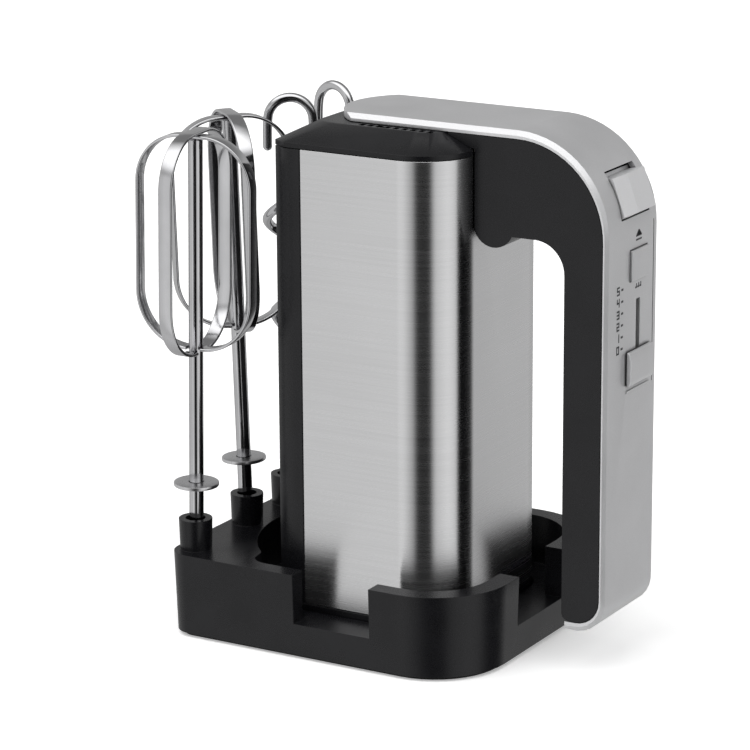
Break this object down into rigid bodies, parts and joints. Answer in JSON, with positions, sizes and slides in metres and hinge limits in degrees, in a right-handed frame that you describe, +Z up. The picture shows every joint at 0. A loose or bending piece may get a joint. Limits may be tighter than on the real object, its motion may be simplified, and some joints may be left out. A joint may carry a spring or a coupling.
{
  "type": "hand mixer with storage stand",
  "caption": "Electric hand mixer with a brushed steel body and a loop handle, standing nose up in a black stand that also holds wire beaters and dough hooks.",
  "frame": {"origin": "centre of the stand's footprint, on the underside of its non-slip pad", "axes": "+X from the beaters towards the handle, +Y to the back, +Z up, as the mixer stands in its stand"},
  "size_m": [0.204, 0.1429, 0.2197],
  "materials": {
    "black_plastic": "fine moulded texture with a low sheen",
    "rubber": "matt",
    "brushed_steel": "fine brushing round the sleeve",
    "satin_silver": "satin silver lacquer with a fine grain along the handle",
    "inner_steel": "plain machined or pressed steel",
    "copper": "enamelled copper",
    "brass": "plain",
    "carbon": "dull carbon",
    "nylon": "translucent milky nylon",
    "board": "lacquered circuit board",
    "chrome": "bright plating"
  },
  "bodies": {
    "stand": {"stand_base": "black_plastic", "non_slip_pad": "rubber"},
    "mixer": {"chassis_moulding": "black_plastic", "steel_sleeve": "brushed_steel", "nose_cap": "black_plastic", "heel_cap": "black_plastic", "chassis_screw_1": "inner_steel", "chassis_screw_2": "inner_steel", "chassis_screw_3": "inner_steel", "chassis_screw_4": "inner_steel", "handle_shell": "black_plastic", "handle_cover": "satin_silver", "cord_inlet": "rubber", "turbo_switch": "black_plastic", "control_board": "board", "supply_lead": "rubber", "motor_lead": "rubber", "stator_core": "inner_steel", "field_coil_1": "copper", "field_coil_2": "copper", "rear_bearing": "brass", "front_bearing": "brass", "rear_bracket": "nylon", "carbon_brush_1": "carbon", "carbon_brush_2": "carbon", "brush_holder_1": "brass", "brush_holder_2": "brass", "gear_frame": "nylon"},
    "armature": {"armature_shaft": "inner_steel", "armature_core": "inner_steel", "commutator": "copper", "cooling_fan": "nylon", "worm": "inner_steel"},
    "spindle_front": {"worm_wheel_1": "nylon", "spindle_1": "inner_steel"},
    "spindle_rear": {"worm_wheel_2": "nylon", "spindle_2": "inner_steel"},
    "ejector": {"ejector_plate": "inner_steel", "eject_rod": "inner_steel"},
    "eject_key": {"eject_button": "satin_silver"},
    "turbo_key": {"turbo_button": "satin_silver"},
    "speed_slider": {"speed_knob": "satin_silver", "speed_carrier": "black_plastic"},
    "beater_1": {"beater_1_shaft": "chrome", "beater_1_collar": "inner_steel", "beater_1_loop_1": "chrome", "beater_1_loop_2": "chrome"},
    "beater_2": {"beater_2_shaft": "chrome", "beater_2_collar": "inner_steel", "beater_2_loop_1": "chrome", "beater_2_loop_2": "chrome"},
    "hook_1": {"hook_1_spiral": "chrome", "hook_1_shaft": "chrome"},
    "hook_2": {"hook_2_spiral": "chrome", "hook_2_shaft": "chrome"}
  },
  "joints": [
    {"name": "mixer_lift", "type": "slide", "parent": "stand", "child": "mixer", "axis": [0, 0, 1], "range_m": [0, 0.06]},
    {"name": "beater_1_lift", "type": "slide", "parent": "stand", "child": "beater_1", "axis": [0.0201, 0, 0.9998], "range_m": [0, 0.03]},
    {"name": "beater_2_lift", "type": "slide", "parent": "stand", "child": "beater_2", "axis": [-0.0305, 0, 0.9995], "range_m": [0, 0.03]},
    {"name": "hook_1_lift", "type": "slide", "parent": "stand", "child": "hook_1", "axis": [0.0227, 0, 0.9997], "range_m": [0, 0.03]},
    {"name": "hook_2_lift", "type": "slide", "parent": "stand", "child": "hook_2", "axis": [0.0332, 0, 0.9995], "range_m": [0, 0.03]},
    {"name": "armature_spin", "type": "hinge", "parent": "mixer", "child": "armature", "pos_m": [0.012, 0, 0.1], "axis": [0, 0, 1], "continuous": true},
    {"name": "spindle_front_spin", "type": "hinge", "parent": "mixer", "child": "spindle_front", "pos_m": [0, -0.0195, 0.172], "axis": [1, 0, 0], "continuous": true},
    {"name": "spindle_rear_spin", "type": "hinge", "parent": "mixer", "child": "spindle_rear", "pos_m": [0, 0.0195, 0.172], "axis": [1, 0, 0], "continuous": true},
    {"name": "ejector_slide", "type": "slide", "parent": "mixer", "child": "ejector", "axis": [-1, 0, 0], "range_m": [0, 0.0034], "stiffness_N_per_m": 800, "springref_m": -0.004},
    {"name": "eject_press", "type": "slide", "parent": "mixer", "child": "eject_key", "axis": [-0.9205, 0, -0.3907], "range_m": [0, 0.004]},
    {"name": "turbo_press", "type": "slide", "parent": "mixer", "child": "turbo_key", "axis": [-1, 0, 0], "range_m": [0, 0.0012], "stiffness_N_per_m": 600, "springref_m": -0.002},
    {"name": "speed_slide", "type": "slide", "parent": "mixer", "child": "speed_slider", "axis": [0, 0, 1], "range_m": [0, 0.024]}
  ],
  "couplings": [
    {"joint": "spindle_front_spin", "follows": "armature_spin", "ratio": -0.071429},
    {"joint": "spindle_rear_spin", "follows": "armature_spin", "ratio": 0.071429},
    {"joint": "eject_press", "follows": "ejector_slide", "ratio": 1.17}
  ]
}
